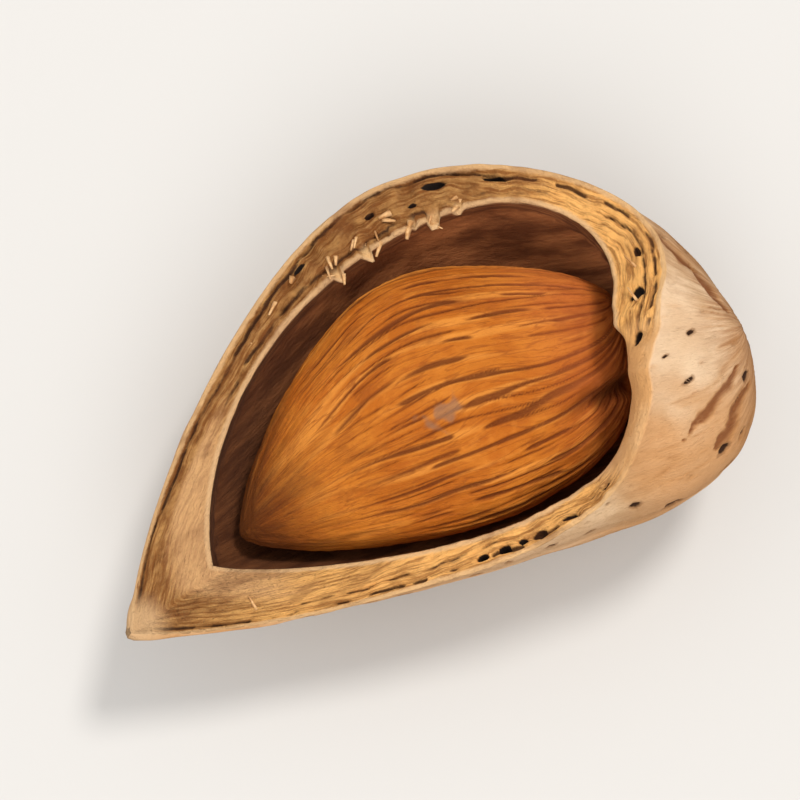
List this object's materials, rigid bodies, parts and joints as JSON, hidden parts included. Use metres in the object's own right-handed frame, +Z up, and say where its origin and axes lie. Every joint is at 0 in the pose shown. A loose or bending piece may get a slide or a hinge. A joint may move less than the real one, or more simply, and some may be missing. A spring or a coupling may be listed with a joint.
{
  "type": "almond",
  "caption": "Almond cracked open along its seam: a hard pitted shell with a hood left at the stem end, and the brown wrinkled kernel lying loose inside.",
  "frame": {"origin": "on the surface that the shell rests on, under the middle of the object's box", "axes": "+X along the shell from its tip to its stem end, +Y to the strongly curved edge, +Z up, out of the opening"},
  "size_m": [0.036, 0.022, 0.0133],
  "materials": {
    "shell_wood": "matt cream-tan, pitted and furrowed outside, golden fibres where it is broken, dark brown and smooth inside",
    "kernel_skin": "matt orange-brown papery skin with lengthwise wrinkles"
  },
  "bodies": {
    "root": {"shell": "shell_wood", "kernel": "kernel_skin"}
  },
  "joints": []
}
